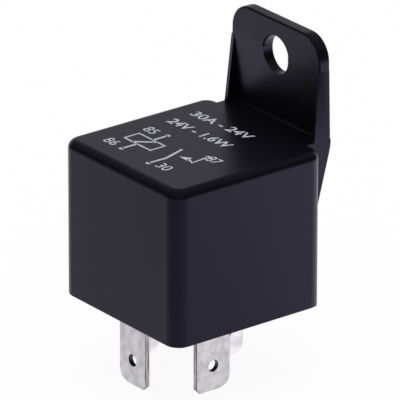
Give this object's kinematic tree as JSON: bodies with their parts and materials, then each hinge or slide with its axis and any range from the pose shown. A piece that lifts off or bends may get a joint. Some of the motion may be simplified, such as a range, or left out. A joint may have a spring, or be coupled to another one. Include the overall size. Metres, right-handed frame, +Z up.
{
  "type": "automotive relay",
  "caption": "Square plug-in relay with blade terminals, a hinged armature over a coil, and a moulded tab with a fixing hole.",
  "frame": {"origin": "centre of the cover in plan, on the seating plane at the cover's rim, where the base's underside is", "axes": "+Z up from the terminals to the tab's top, +Y towards the mounting tab, +X to the right when the tab is at the back"},
  "size_m": [0.028, 0.0316, 0.0525],
  "materials": {
    "moulded_cover": "blue-black moulded nylon, satin",
    "moulded_base": "black moulded nylon, satin",
    "tinned_brass": "sheared brass strip, bright tin plate",
    "plated_iron": "soft iron, zinc plated",
    "natural_nylon": "natural glass-filled nylon",
    "enamelled_wire": "enamelled copper wire",
    "amber_tape": "amber film tape",
    "solder": "set solder, smooth",
    "steel_rivets": "plated steel",
    "silver_contact": "silver alloy, polished",
    "spring_bronze": "rolled spring bronze"
  },
  "bodies": {
    "housing": {"cover": "moulded_cover", "base": "moulded_base", "terminal_30": "tinned_brass", "terminal_85": "tinned_brass", "terminal_86": "tinned_brass", "terminal_87": "tinned_brass", "yoke": "plated_iron", "core": "plated_iron", "bobbin": "natural_nylon", "coil_winding": "enamelled_wire", "coil_tape": "amber_tape", "coil_lead_85": "enamelled_wire", "coil_lead_86": "enamelled_wire", "solder_joint_85": "solder", "solder_joint_86": "solder", "terminal_rivets": "steel_rivets", "fixed_contact": "silver_contact", "spring_rivets": "steel_rivets"},
    "armature": {"armature": "plated_iron", "armature_rivets": "steel_rivets", "moving_contact": "silver_contact", "contact_spring": "spring_bronze"}
  },
  "joints": [
    {"name": "armature_pivot", "type": "hinge", "parent": "housing", "child": "armature", "pos_m": [0, 0.0108, 0.01925], "axis": [1, 0, 0], "range_deg": [0, 2.5], "stiffness_Nm_per_rad": 0.02, "springref_deg": -11.46, "deforming": ["contact_spring"]}
  ]
}
